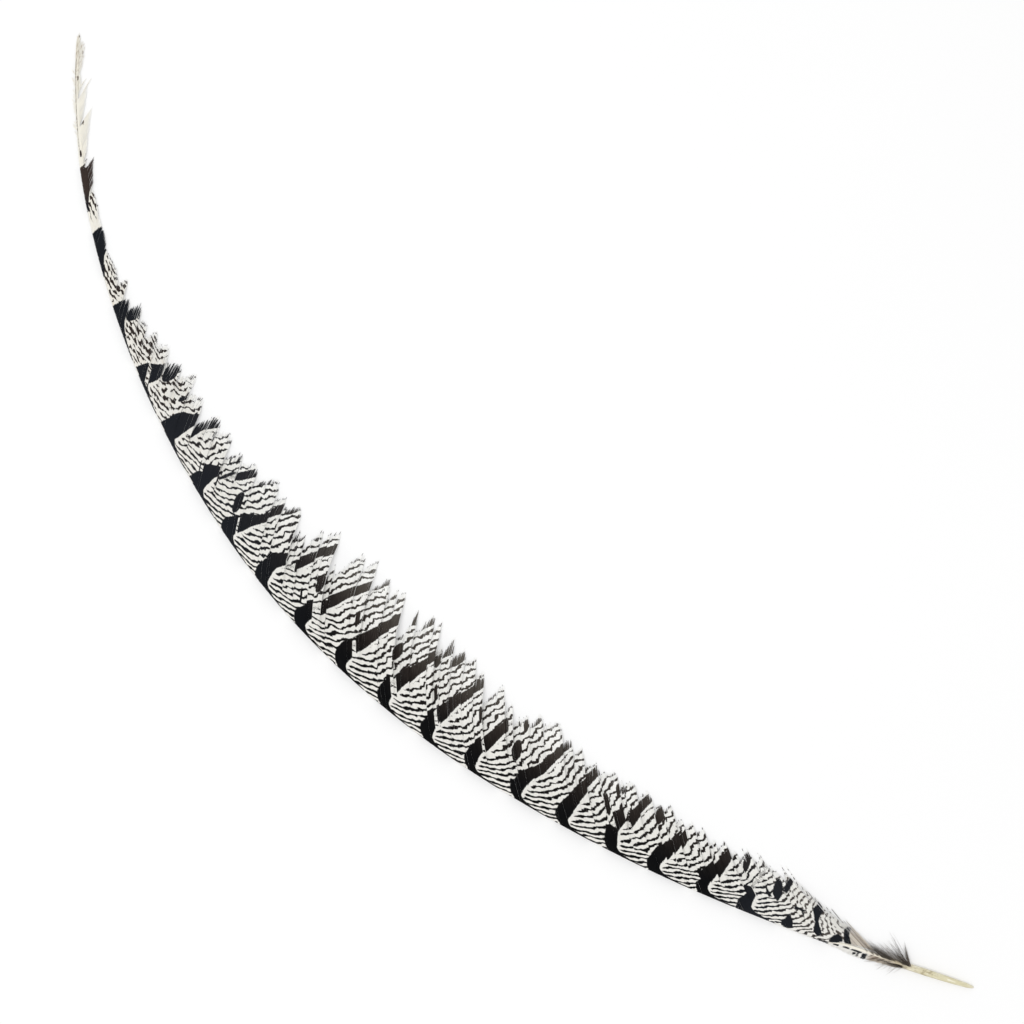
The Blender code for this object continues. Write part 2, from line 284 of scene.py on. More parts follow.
def quill_place():
    """Where the quill's end lies, found from the CAD shaft's box."""
    low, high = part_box("shaft")
    along = LINE[0]
    radius = read_table(SHAFT_RADII, along)
    centre = read_table(CENTRE_OFFSET, along)
    sides = [flat_place(along, centre + side * radius) for side in (-1, 1)]
    xs, ys = np.concatenate(sides, axis=1)
    x = (low[0] + high[0]) / 2 - (xs.min() + xs.max()) / 2 * MM
    y = (low[1] + high[1]) / 2 - (ys.min() + ys.max()) / 2 * MM
    return x, y


QUILL_X, QUILL_Y = quill_place()


def on_feather(along, out, height):
    """World points, in metres, of places given in millimetres."""
    x, y = flat_place(along, out)
    return np.stack([x * MM + QUILL_X, y * MM + QUILL_Y, height * MM], axis=-1)


def barb_run(root, out):
    """How far along the shaft a barb has come when it is this far out."""
    out = np.maximum(out, 0)
    return read_table(BARB_LEAN, root) * out - BARB_BEND * out * out


# ---------------------------------------------------------------- the locks' outline

LOCK_ROOTS, LOCK_REACHES, LOCK_NOTCHES, LOCK_SHIFTS = np.array(LOCKS).T
LOCK_ROOTS = np.append(LOCK_ROOTS, WIDE_VANE_END)


def lock_of(root):
    return np.clip(np.searchsorted(LOCK_ROOTS, root, side="right") - 1, 0, len(LOCKS) - 1)


def lock_share(root, lock):
    return (root - LOCK_ROOTS[lock]) / (LOCK_ROOTS[lock + 1] - LOCK_ROOTS[lock])


def lock_reach(root, lock):
    """How far out a lock reaches at a root: up a steep shoulder to its point, then down."""
    share = lock_share(root, lock)
    reach = LOCK_REACHES[lock]
    notch = LOCK_NOTCHES[lock]
    rising = reach * (LOCK_SHOULDER + (1 - LOCK_SHOULDER) * share / LOCK_POINT)
    falling = reach + (notch - reach) * (share - LOCK_POINT) / (1 - LOCK_POINT)
    reach = np.where(share < LOCK_POINT, rising, falling)
    reach = np.where(root < QUILL_EDGE[-1][0], read_table(QUILL_EDGE, root), reach)
    return np.where(root > TIP_EDGE[0][0], read_table(TIP_EDGE, root), reach)


def vane_root(root):
    """Where a wide-vane barb leaves the shaft: out from the line, and height."""
    radius = read_table(SHAFT_RADII, root)
    centre = read_table(CENTRE_OFFSET, root)
    reach = radius + GAP + VANE_THICKNESS / 2
    angle = np.radians(np.interp(root, (57, 80), (0, 90)))
    over = np.interp(root, (74, 88), (0, 1))
    out = centre + (reach + GAP / 2) * np.cos(angle) - over * (radius + 0.05)
    height = read_table(ARCH, root) + radius + reach * np.sin(angle)
    return out, height


def sheet_height(root, out, reach):
    """The height of the wide vane's sheet, which falls from the shaft to the surface."""
    start, root_height = vane_root(root)
    width = np.maximum(reach - start, 1)
    share = np.clip((out - start) / width, 0, 1)
    crown = VANE_CROWN * width * 4 * share * (1 - share)
    return EDGE_HEIGHT + (root_height - EDGE_HEIGHT) * (1 - share * share) + crown


# ---------------------------------------------------------------- the markings

def soft_minimum(first, second, blend):
    share = np.clip(0.5 + 0.5 * (second - first) / blend, 0, 1)
    return second * (1 - share) + first * share - blend * share * (1 - share)


def toe_length(middle):
    """How far a bar's dark foot runs along the shaft before it, for a bar's middle."""
    return np.interp(middle, (606, 645), (TOE_LENGTH, 0.35 * TOE_LENGTH))


def bar_at(bar, root, out, along):
    """How deep a place lies in a bar, how far before it and past it, and the bar's width."""
    middle, width_in, width_out, sweep = bar
    narrow_from = np.interp(middle, (440, 500, 540, 573), (8.5, 6, 9.5, 5))
    narrow_to = np.interp(middle, (440, 500, 540, 573), (32, 20, 20, 14))
    width = width_in + (width_out - width_in) * smooth_step(narrow_from, narrow_to, out)
    bulge = 0.7 * smooth_step(2, 5, out) * (1 - smooth_step(11, 19, out)) * (middle < 520)
    centre = middle - BAR_BACK * out * out + bulge - sweep * smooth_step(11, 24, out)
    left = centre - width / 2
    foot = 2.7 * (1 - smooth_step(480, 510, middle)) * smooth_step(130, 155, middle)
    heel = 3.2 * (1 - smooth_step(400, 450, middle)) * smooth_step(180, 245, middle)
    right = centre + width / 2 - foot * np.exp(-np.maximum(out, 0) / 1.6)
    right = right - heel * np.exp(-np.maximum(out, 0) / 2.7)
    if middle > SLANTED_BARS_FROM:
        side = middle - width_in / 2
        left = side + barb_run(side, out)
        right = middle + width_in / 2 + sweep * out
    before = left - along
    past = along - right
    # The dark foot that runs along the shaft before the bar, thinner the further it goes.
    toe = 2.5 * np.exp(-np.maximum(before, 0) / 3.0) - 0.03 * np.maximum(before, 0) + 0.35 - out
    toe = np.minimum(toe, toe_length(middle) - before)
    depth = np.minimum(np.maximum(-before, toe), -past)
    return depth, before, past, width


def markings(root, out, lock):
    """The dark marks' depth in millimetres, the thin lines' phase and their share of width."""
    along = root + barb_run(root, out)
    along = along - LOCK_SHIFTS[lock] * smooth_step(3, 11, out)
    depth = np.full(root.shape, -50.0)
    to_bar = np.full(root.shape, 50.0)
    to_line = to_bar
    by_bar = np.ones(root.shape, bool)
    clear = np.ones(root.shape)
    for bar in BARS:
        bar_depth, before, past, width = bar_at(bar, root, out, along)
        drawn = np.ones(root.shape, bool)
        # The first bar is drawn by the shaft only, and lines run on further out.
        if bar is BARS[0]:
            bar_depth = np.minimum(bar_depth, np.minimum(13 - out, root - 115.5))
            drawn = (out < 14) & (root > 115)
        depth = np.maximum(depth, bar_depth)
        nearer = (before > -width / 2) & (before < to_bar)
        to_bar = np.where(nearer, before, to_bar)
        by_bar = np.where(nearer, drawn, by_bar)
        slanted = bar[0] > SLANTED_BARS_FROM
        to_line = np.where(nearer, bar[0] - bar[1] / 2 - along if slanted else before, to_line)
        web = np.interp(bar[0], *CLEAR_WEB)
        if web > 0:
            clear = np.where(past > 0, np.minimum(clear, smooth_step(0.2 * web, web, past)), clear)
    in_split = np.zeros(root.shape, bool)
    for first, last, low, high in SPLITS:
        inside = np.minimum(within(root, first, last) * 2, within(out, low, high))
        depth = np.where(inside > 0, np.minimum(depth, -inside), depth)
        in_split = in_split | (inside > 0.3)
    for first, last, middle, thickness in SLIPPED_PIECES:
        slope = 1 / read_table(BARB_LEAN, root)
        across = np.clip((root - first) / (last - first), 0, 1)
        here = middle - (root - (first + last) / 2) * slope
        half = thickness * 0.46 * (1 - 0.5 * np.abs(2 * across - 1) ** 3)
        inside = (root >= first) & (root < last)
        depth = np.where(inside, np.maximum(depth, half - np.abs(out - here)), depth)
    for path in QUILL_BARS:
        roots, outs, thicknesses = zip(*path)
        inside = (root > roots[0]) & (root < roots[-1])
        here = np.interp(root, roots, outs)
        half = np.interp(root, roots, thicknesses) / 2
        depth = np.where(inside, np.maximum(depth, half - np.abs(out - here)), depth)
    steepness = LINE_SLOPE + 0.2 * smooth_step(545, 590, root)
    gentle = out - steepness * to_line
    steep = STEEP_LEVEL - STEEP_SLOPE * to_line + 30 * smooth_step(545, 590, root)
    crowded = CROWDING * (1 - np.exp(-np.maximum(out, 0) / CROWDED_WIDTH))
    phase = (soft_minimum(gentle, steep, LINE_BLEND) + crowded) / read_table(LINE_PERIOD, root)
    blend = np.clip(0.5 + 0.5 * (steep - gentle) / LINE_BLEND, 0, 1)
    share = (0.36 + 0.14 * blend) * read_table(LINE_STRENGTH, root)
    share = share * np.where(by_bar, smooth_step(1.5, 2.6, to_bar), 1)
    share = share * clear * (1 - smooth_step(684, 692, root))
    share = share * np.maximum(smooth_step(70, 77, along), smooth_step(64, 74, root))
    share = np.where(in_split, 0.3, share)
    for place, height, length, thickness in TIP_SPECKS:
        lengthways = length / 2 - np.abs(along - place)
        inside = np.minimum(lengthways, thickness / 2 - np.abs(out - height))
        depth = np.maximum(depth, inside)
    return depth, phase, share


# ---------------------------------------------------------------- making strands

# The bake map: rows of strips, and how much of its cell a strip fills.
STRIP_ROWS = 4
STRIP_WIDTH = 0.94
STRIP_LENGTH = 0.97


def strand_faces(count, rings):
    """Faces of closed three-sided strands, each with a flat underside and a ridged top."""
    first = (np.arange(count) * rings * 3)[:, None] + (np.arange(rings - 1) * 3)[None, :]
    first = first.reshape(-1)
    left, right, top = first, first + 1, first + 2
    sides = [
        np.stack([left, left + 3, top + 3, top], axis=1),
        np.stack([top, top + 3, right + 3, right], axis=1),
        np.stack([right, right + 3, left + 3, left], axis=1),
    ]
    start = np.arange(count) * rings * 3
    end = start + (rings - 1) * 3
    caps = [
        np.stack([start, start + 2, start + 1], axis=1),
        np.stack([end, end + 1, end + 2], axis=1),
    ]
    return sides, caps


def strands(name, along, out, height, half_width, ridge, material):
    """Joined closed strands. The arrays hold a row of ring places for each strand."""
    count, rings = along.shape
    left = on_feather(along - half_width, out, height)
    right = on_feather(along + half_width, out, height)
    top = on_feather(along, out, height + ridge)
    points = np.stack([left, right, top], axis=2).reshape(-1, 3)
    sides, caps = strand_faces(count, rings)
    faces = np.concatenate(sides).tolist() + np.concatenate(caps).tolist()
    mesh = bpy.data.meshes.new(name)
    mesh.from_pydata(points.tolist(), [], faces)
    mesh.materials.append(material)
    mesh.update()
    lay_out_strips(mesh, count, rings)
    piece = bpy.data.objects.new(name, mesh)
    bpy.context.scene.collection.objects.link(piece)
    return piece


def lay_out_strips(mesh, count, rings):
    """The bake map: each strand is a narrow strip, and the strips fill the square in rows."""
    columns = math.ceil(count / STRIP_ROWS)
    strand = np.arange(count)
    corner_u = (strand % columns) / columns
    corner_v = (strand // columns) / STRIP_ROWS
    width = STRIP_WIDTH / columns
    length = STRIP_LENGTH / STRIP_ROWS
    ring = np.arange(rings - 1) / (rings - 1)
    step = 1 / (rings - 1)
    v_low = (corner_v[:, None] + ring[None, :] * length).reshape(-1)
    v_high = v_low + step * length
    spans = ((0.0, 0.4), (0.4, 0.8), (0.8, 1.0))
    parts = []
    for first, last in spans:
        u_first = np.repeat(corner_u + first * width, rings - 1)
        u_last = np.repeat(corner_u + last * width, rings - 1)
        face = np.stack([u_first, v_low, u_first, v_high, u_last, v_high, u_last, v_low], axis=1)
        parts.append(face.reshape(-1, 2))
    for end in (0.0, 1.0):
        v_end = corner_v + end * length
        small = 0.1 / columns
        face = np.stack([corner_u, v_end, corner_u + small, v_end, corner_u, v_end + small], axis=1)
        parts.append(face.reshape(-1, 2))
    layer = mesh.uv_layers.new(name="OFBake")
    layer.data.foreach_set("uv", np.concatenate(parts).reshape(-1).astype(np.float32))


def give_vectors(piece, name, *parts):
    """A vector attribute on the points, from three arrays stretched to a value a point."""
    values = np.stack(np.broadcast_arrays(*parts), axis=-1).reshape(-1).astype(np.float32)
    attribute = piece.data.attributes.new(name, "FLOAT_VECTOR", "POINT")
    attribute.data.foreach_set("vector", values)


def wave(points, wavelength, seed):
    """A smooth random curve through the points, for the same wander on every run."""
    random = np.random.default_rng(seed)
    cells = np.arange(points.min() // wavelength, points.max() // wavelength + 3)
    values = random.standard_normal(len(cells))
    return np.interp(points / wavelength, cells, values)


# ---------------------------------------------------------------- materials

def srgb(red, green, blue):
    """A colour given as it looks on screen, 0 to 255, as Blender wants it."""
    def linear(value):
        value = value / 255
        return value / 12.92 if value <= 0.04045 else ((value + 0.055) / 1.055) ** 2.4

    return (linear(red), linear(green), linear(blue), 1)


class Nodes:
    """Adds and links nodes of one material."""

    def __init__(self, name, roughness, specular):
        self.material = bpy.data.materials.new(name)
        self.material.use_nodes = True
        self.tree = self.material.node_tree
        self.shader = self.tree.nodes["Principled BSDF"]
        self.shader.inputs["Roughness"].default_value = roughness
        self.shader.inputs["Specular IOR Level"].default_value = specular

    def add(self, kind, **settings):
        node = self.tree.nodes.new(kind)
        for key, value in settings.items():
            setattr(node, key, value)
        return node

    def link(self, value, socket):
        if isinstance(value, bpy.types.NodeSocket):
            self.tree.links.new(value, socket)
        else:
            socket.default_value = value

    def math(self, operation, *values):
        node = self.add("ShaderNodeMath", operation=operation)
        for value, socket in zip(values, node.inputs):
            self.link(value, socket)
        return node.outputs[0]

    def times(self, first, second):
        return self.math("MULTIPLY", first, second)

    def plus(self, first, second):
        return self.math("ADD", first, second)

    def scaled(self, value, factor, offset):
        return self.math("MULTIPLY_ADD", value, factor, offset)

    def clipped(self, value):
        return self.math("MINIMUM", self.math("MAXIMUM", value, 0.0), 1.0)

    def rise(self, value, start, stop):
        node = self.add("ShaderNodeMapRange", interpolation_type="LINEAR")
        self.link(value, node.inputs["Value"])
        node.inputs["From Min"].default_value = start
        node.inputs["From Max"].default_value = stop
        return node.outputs["Result"]

    def vector_of(self, attribute):
        node = self.add("ShaderNodeAttribute", attribute_name=attribute)
        parts = self.add("ShaderNodeSeparateXYZ")
        self.link(node.outputs["Vector"], parts.inputs[0])
        return node.outputs["Vector"], parts.outputs

    def noise(self, vector, scales, detail=2.0, roughness=0.5):
        stretch = self.add("ShaderNodeVectorMath", operation="MULTIPLY")
        self.link(vector, stretch.inputs[0])
        stretch.inputs[1].default_value = scales
        node = self.add("ShaderNodeTexNoise")
        node.inputs["Scale"].default_value = 1.0
        node.inputs["Detail"].default_value = detail
        node.inputs["Roughness"].default_value = roughness
        self.link(stretch.outputs[0], node.inputs["Vector"])
        return self.math("SUBTRACT", node.outputs[0], 0.5)

    def mix(self, share, first, second):
        node = self.add("ShaderNodeMix", data_type="RGBA")
        colours = [socket for socket in node.inputs if socket.type == "RGBA"]
        result = [socket for socket in node.outputs if socket.type == "RGBA"][0]
        self.link(share, node.inputs[0])
        self.link(first, colours[0])
        self.link(second, colours[1])
        return result

    def ramp(self, value, stops):
        """Colours by a value, from stops of place, red, green and blue."""
        stops = [(place, srgb(*colour)) for place, *colour in stops]
        node = self.add("ShaderNodeValToRGB")
        elements = node.color_ramp.elements
        elements[0].position, elements[0].color = stops[0]
        elements[1].position, elements[1].color = stops[-1]
        for place, colour in stops[1:-1]:
            elements.new(place).color = colour
        self.link(value, node.inputs[0])
        return node.outputs[0]

    def bump(self, height, strength, distance):
        node = self.add("ShaderNodeBump")
        node.inputs["Strength"].default_value = strength
        node.inputs["Distance"].default_value = distance
        self.link(height, node.inputs["Height"])
        self.link(node.outputs[0], self.shader.inputs["Normal"])

    def colour(self, value):
        self.link(value, self.shader.inputs["Base Color"])


CREAM_WEB = srgb(241, 238, 228)
BROWN_WEB = srgb(205, 194, 178)
SLATE = srgb(34, 37, 43)
TIP_BLACK = srgb(62, 52, 48)
PALE_STREAK = srgb(150, 144, 138)
PAINTED_LIGHT_END_WHITE = srgb(250, 250, 247)
GREY_WEB = srgb(176, 172, 165)
FRAYED_END = srgb(84, 74, 66)
DUSKY_WEB = srgb(118, 103, 90)
QUILL_LINE = srgb(126, 114, 104)
BROWN_LINE = srgb(78, 60, 46)
TIP_LINE = srgb(116, 102, 86)
TIP_SPECKLE = srgb(168, 150, 122)
TAN_WEB = srgb(208, 190, 162)


def barb_material():
    """White web with dark bars and thin wavy lines, both read from the barbs' own marks."""
    nodes = Nodes("barred_barbs", roughness=0.6, specular=0.08)
    _, (depth, phase, line_share) = nodes.vector_of("marks")
    barb, (root, out, along) = nodes.vector_of("barb")
    _, (reach_share, strand, brown) = nodes.vector_of("fringe")

    grain = nodes.noise(barb, (2.4, 0.22, 0.0), detail=3.0)
    edge = nodes.noise(barb, (1.6, 1.6, 0.0))
    wander = nodes.noise(barb, (0.07, 0.2, 0.0), detail=1.0)
    fork = nodes.noise(barb, (0.22, 0.5, 0.0), detail=1.0)
    swell = nodes.noise(barb, (0.25, 0.5, 0.0))

    # The bars, with their edges roughened.
    depth_here = nodes.plus(depth, nodes.times(edge, 0.7))
    bar = nodes.clipped(nodes.scaled(depth_here, 4.0, 0.5))
    # The thin lines: they wander and fork, and swell and break off, more so at both ends.
    rough = nodes.scaled(nodes.rise(along, 470, 600), 0.9, 1.0)
    rough = nodes.scaled(nodes.rise(along, 108, 85), 0.5, rough)
    moved = nodes.plus(nodes.times(wander, 1.35), nodes.times(fork, 0.5))
    moved = nodes.plus(moved, nodes.times(edge, 0.2))
    moved = nodes.scaled(moved, rough, phase)
    part = nodes.math("FRACT", moved)
    ridge = nodes.times(nodes.math("ABSOLUTE", nodes.math("SUBTRACT", part, 0.5)), 2.0)
    broken = nodes.scaled(nodes.rise(root, 105, 72), 3.0, 2.4)
    broken = nodes.scaled(nodes.rise(root, 480, 560), 4.6, broken)
    broken = nodes.scaled(nodes.rise(root, 170, 120), 0.8, broken)
    fleck = nodes.times(edge, nodes.times(nodes.rise(root, 92, 72), 3.0))
    wide = nodes.plus(nodes.scaled(swell, broken, 1.0), fleck)
    wide = nodes.times(line_share, wide)
    line = nodes.math("SUBTRACT", ridge, nodes.math("SUBTRACT", 1.0, wide))
    line = nodes.clipped(nodes.scaled(line, 10.0, 0.5))
    line = nodes.times(line, nodes.rise(line_share, 0.02, 0.1))

    # The dark parts: black by the shaft, browner and paler outwards, slate at both ends.
    outwards = nodes.math("DIVIDE", out, 60.0)
    dark = nodes.ramp(outwards, (
        (0.0, 4, 5, 7),
        (0.13, 6, 6, 8),
        (0.25, 17, 14, 13),
        (0.42, 38, 32, 29),
        (0.6, 66, 61, 56),
        (0.85, 98, 94, 88),
    ))
    slate = nodes.math("MAXIMUM", nodes.rise(along, 400, 500), nodes.rise(along, 150, 125))
    slate = nodes.times(slate, 0.7)
    dark = nodes.mix(slate, dark, SLATE)
    dark = nodes.mix(nodes.rise(along, 668, 676), dark, TIP_BLACK)
    streak = nodes.times(grain, nodes.scaled(outwards, 1.1, -0.1))
    dark = nodes.mix(nodes.clipped(streak), dark, PALE_STREAK)
    # The light parts: white, cream towards the tip, brown and frayed by the down; the free ends are
    # whitened further as painted light against the shade between the strands.
    light = nodes.ramp(outwards, (
        (0.0, 231, 229, 224),
        (0.3, 230, 229, 224),
        (0.6, 241, 240, 237),
        (0.85, 249, 249, 247),
    ))
    light = nodes.mix(nodes.rise(along, 560, 700), light, CREAM_WEB)
    # Painted light: the free ends are lightened to offset the shade that falls between the loose
    # strands.
    light = nodes.mix(nodes.rise(reach_share, 0.75, 1.0), light, PAINTED_LIGHT_END_WHITE)
    light = nodes.mix(nodes.clipped(nodes.scaled(grain, 0.6, 0.1)), light, GREY_WEB)
    light = nodes.mix(nodes.times(brown, 0.75), light, BROWN_WEB)
    frayed = nodes.times(nodes.rise(reach_share, 0.8, 0.95), nodes.rise(root, 80, 66))
    frayed = nodes.times(frayed, nodes.rise(strand, 0.45, 0.7))
    light = nodes.mix(nodes.times(frayed, 0.85), light, FRAYED_END)
    dusky = nodes.times(brown, nodes.rise(strand, 0.45, 0.85))
    light = nodes.mix(nodes.times(dusky, 0.75), light, DUSKY_WEB)
    # Lines are paler than bars by the quill, and browner towards the tip.
    not_bar = nodes.math("SUBTRACT", 1.0, bar)
    pale_line = nodes.times(not_bar, nodes.rise(root, 108, 76))
    dark = nodes.mix(nodes.times(pale_line, 0.36), dark, QUILL_LINE)
    brown_line = nodes.times(not_bar, nodes.rise(along, 490, 580))
    dark = nodes.mix(nodes.times(brown_line, 0.3), dark, BROWN_LINE)
    dark = nodes.mix(nodes.times(nodes.rise(along, 700, 735), 0.9), dark, TIP_LINE)
    # Specks at the very tip, and a tan tint in the web before the last bars.
    mottle = nodes.clipped(nodes.times(nodes.noise(barb, (0.9, 1.2, 0.0)), 8.0))
    speckle = nodes.times(mottle, nodes.rise(along, 730, 745))
    light = nodes.mix(nodes.times(speckle, 0.65), light, TIP_SPECKLE)
    middle_part = nodes.times(nodes.rise(along, 470, 560), nodes.rise(along, 690, 640))
    tint = nodes.times(nodes.clipped(nodes.times(swell, 3.0)), middle_part)
    light = nodes.mix(nodes.times(tint, 0.45), light, TAN_WEB)
    mark = nodes.math("MAXIMUM", bar, line)
    nodes.colour(nodes.mix(mark, light, dark))
    nodes.bump(grain, 0.25, 0.0001)
    return nodes.material


def quill_material():
    """Straw-coloured horn: greenish at the quill, greyer by the down, cream in the shaft, with
    painted shade along the quill's flank on the narrow vane's side.
    """
    nodes = Nodes("horn", roughness=0.34, specular=0.5)
    place, (along, angle, _) = nodes.vector_of("place")
    grain = nodes.noise(place, (0.25, 2.2, 0.0), detail=4.0, roughness=0.6)
    cloud = nodes.noise(place, (0.12, 0.5, 0.0))
    crease = nodes.noise(place, (0.5, 1.1, 0.0), detail=3.0)
    base = nodes.ramp(nodes.math("DIVIDE", along, 120.0), (
        (0.0, 226, 220, 198),
        (0.04, 216, 210, 177),
        (0.2, 218, 212, 180),
        (0.29, 208, 200, 174),
        (0.36, 196, 182, 160),
        (0.42, 226, 217, 196),
        (0.52, 244, 239, 226),
        (1.0, 245, 241, 230),
    ))
    bare = nodes.rise(along, 56, 44)
    cloudy = nodes.times(nodes.clipped(nodes.scaled(cloud, 1.3, 0.15)), bare)
    base = nodes.mix(cloudy, base, srgb(196, 184, 140))
    grainy = nodes.clipped(nodes.scaled(grain, 0.9, 0.05))
    base = nodes.mix(grainy, base, srgb(150, 134, 104))
    streaks = nodes.noise(place, (0.16, 1.0, 0.0), detail=1.0)
    streaks = nodes.clipped(nodes.scaled(streaks, 7.0, -0.2))
    streaks = nodes.times(nodes.times(streaks, bare), 0.75)
    base = nodes.mix(streaks, base, srgb(240, 236, 216))
    worn = nodes.times(nodes.rise(along, 19, 24), nodes.rise(along, 36, 30))
    worn = nodes.times(worn, nodes.rise(crease, 0.0, 0.1))
    base = nodes.mix(nodes.times(worn, 0.55), base, srgb(140, 124, 88))
    # Painted shade: the bare quill is darkened along its flank on the narrow vane's side.
    painted_flank_shade = nodes.rise(nodes.math("COSINE", angle), -0.7, -1.0)
    base = nodes.mix(nodes.times(nodes.times(painted_flank_shade, bare), 0.6), base, srgb(150, 130, 92))
    nodes.colour(base)
    nodes.shader.inputs["Coat Weight"].default_value = 0.15
    nodes.bump(grain, 0.3, 0.0002)
    return nodes.material


def down_material():
    """Soft brown-grey down, dark at the shaft and pale at its ends."""
    nodes = Nodes("down", roughness=0.85, specular=0.15)
    hair, (share, strand, paleness) = nodes.vector_of("hair")
    grain = nodes.noise(hair, (30.0, 9.0, 0.0))
    base = nodes.ramp(share, (
        (0.0, 52, 40, 32),
        (0.3, 58, 47, 40),
        (0.7, 74, 65, 59),
        (1.0, 120, 112, 105),
    ))
    base = nodes.mix(nodes.times(strand, 0.75), base, srgb(46, 38, 34))
    base = nodes.mix(nodes.clipped(nodes.plus(grain, 0.1)), base, srgb(160, 150, 138))
    base = nodes.mix(paleness, base, srgb(212, 204, 192))
    nodes.colour(base)
    return nodes.material


def floor_material():
    nodes = Nodes("pale_floor", roughness=0.9, specular=0.1)
    place = nodes.add("ShaderNodeTexCoord").outputs["Object"]
    cloud = nodes.noise(place, (3.0, 3.0, 3.0))
    share = nodes.clipped(nodes.plus(cloud, 0.5))
    nodes.colour(nodes.mix(share, (0.75, 0.75, 0.75, 1), (0.77, 0.77, 0.77, 1)))
    nodes.shader.inputs["Emission Color"].default_value = (1, 1, 1, 1)
    nodes.shader.inputs["Emission Strength"].default_value = 0.145
    return nodes.material


# ---------------------------------------------------------------- the pieces

def make_shaft(material):
    """The quill and rachis: a fine round stem, drawn out ring by ring from the quill's end."""
    rounding = [0, 0.25, 0.6, 1.2, 2.2, 4]
    along = np.concatenate([rounding, np.arange(7, 60, 3), np.arange(62, 760, 6), [SHAFT_LENGTH]])
    radius = read_table(SHAFT_RADII, along) * read_table(HORN_SHARE, along)
    middles = on_feather(along, read_table(CENTRE_OFFSET, along), read_table(ARCH, along) + radius)
    headings = np.interp(along, LINE[0], LINE[3])

    bpy.ops.object.select_all(action="DESELECT")
    bpy.ops.mesh.primitive_circle_add(
        vertices=SHAFT_SIDES,
        radius=radius[0] * MM,
        fill_type="NGON",
        calc_uvs=False,
        location=middles[0],
        rotation=(math.pi / 2, 0, headings[0] - math.pi / 2),
    )
    shaft = bpy.context.active_object
    shaft.name = "shaft_horn"
    bpy.ops.object.transform_apply(location=True, rotation=True, scale=True)
    bpy.ops.object.mode_set(mode="EDIT")
    bpy.ops.mesh.select_mode(type="FACE")
    bpy.ops.mesh.select_all(action="SELECT")
    for ring in range(1, len(along)):
        here = tuple(middles[ring])
        step = tuple(middles[ring] - middles[ring - 1])
        bpy.ops.mesh.extrude_region_move(TRANSFORM_OT_translate={"value": step})
        turn = headings[ring] - headings[ring - 1]
        bpy.ops.transform.rotate(value=-turn, orient_axis="Z", center_override=here)
        growth = radius[ring] / radius[ring - 1]
        bpy.ops.transform.resize(value=(growth, growth, growth), center_override=here)
    bpy.ops.mesh.select_all(action="SELECT")
    bpy.ops.mesh.normals_make_consistent(inside=False)
    bpy.ops.object.mode_set(mode="OBJECT")
    bpy.ops.object.shade_smooth()
    shaft.data.materials.append(material)

    points = np.empty(len(shaft.data.vertices) * 3)
    shaft.data.vertices.foreach_get("co", points)
    from_middle = points.reshape(len(along), SHAFT_SIDES, 3) - middles[:, None, :]
    sine = np.sin(headings)[:, None]
    cosine = np.cos(headings)[:, None]
    outward = from_middle[:, :, 0] * sine - from_middle[:, :, 1] * cosine
    angles = np.mod(np.arctan2(from_middle[:, :, 2], outward) + 0.1, 2 * math.pi) - 0.1
    give_vectors(shaft, "place", along[:, None], angles, 0.0)
    return shaft


